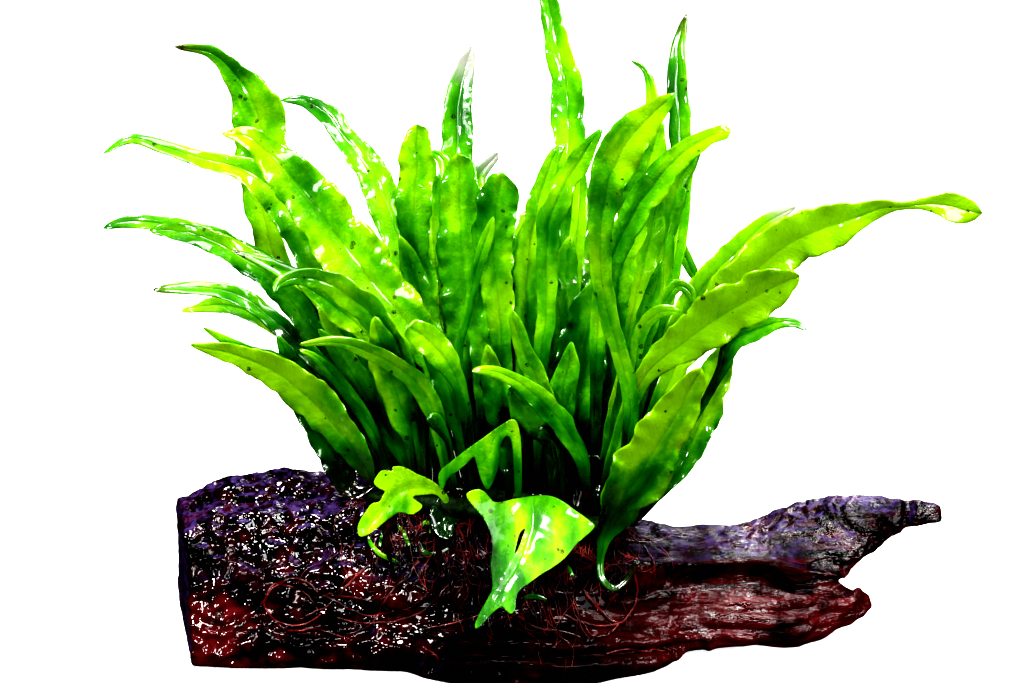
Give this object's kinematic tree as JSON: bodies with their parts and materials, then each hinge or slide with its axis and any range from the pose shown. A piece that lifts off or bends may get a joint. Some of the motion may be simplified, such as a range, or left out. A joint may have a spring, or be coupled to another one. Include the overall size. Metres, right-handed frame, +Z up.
{
  "type": "java fern on driftwood",
  "caption": "Aquarium fern with long quilted fronds rising from creeping stems matted over the top of a flat-bottomed piece of driftwood.",
  "frame": {"origin": "on the flat underside of the wood, below the middle of the fern", "axes": "+X along the wood towards its forked end, +Z up, the viewer on the -Y side"},
  "size_m": [0.281, 0.1393, 0.2171],
  "materials": {
    "driftwood": "wet, dark and pitted",
    "roots": "wet matted fibres",
    "rhizome": "waxy green skin",
    "frond": "wet, glossy and quilted"
  },
  "bodies": {
    "root": {"driftwood_log": "driftwood", "driftwood_upper_branch": "driftwood", "driftwood_lower_branch": "driftwood", "rhizome_front": "rhizome", "rhizome_middle": "rhizome", "rhizome_back": "rhizome", "root_mat": "roots", "frond_left_01": "frond", "frond_left_02": "frond", "frond_left_03": "frond", "frond_left_04": "frond", "frond_left_05": "frond", "frond_left_06": "frond", "frond_left_07": "frond", "frond_left_08": "frond", "frond_left_09": "frond", "frond_left_10": "frond", "frond_left_11": "frond", "frond_left_12": "frond", "frond_left_13": "frond", "frond_left_14": "frond", "frond_left_15": "frond", "frond_left_17": "frond", "frond_centre_01": "frond", "frond_centre_02": "frond", "frond_centre_03": "frond", "frond_centre_04": "frond", "frond_centre_05": "frond", "frond_centre_06": "frond", "frond_centre_07": "frond", "frond_centre_09": "frond", "frond_centre_10": "frond", "frond_centre_12": "frond", "frond_centre_13": "frond", "frond_right_01": "frond", "frond_right_02": "frond", "frond_right_03": "frond", "frond_right_04": "frond", "frond_right_05": "frond", "frond_right_06": "frond", "frond_right_07": "frond", "frond_right_08": "frond", "frond_right_09": "frond", "frond_right_10": "frond", "frond_right_11": "frond", "frond_right_12": "frond", "frond_right_13": "frond", "frond_right_14": "frond", "frond_right_15": "frond", "frond_front_03": "frond", "frond_back_01": "frond", "frond_back_02": "frond", "frond_back_03": "frond", "frond_back_04": "frond", "frond_back_05": "frond", "frond_back_06": "frond", "frond_front_01": "frond", "frond_front_02": "frond", "frond_front_06": "frond"}
  },
  "joints": []
}
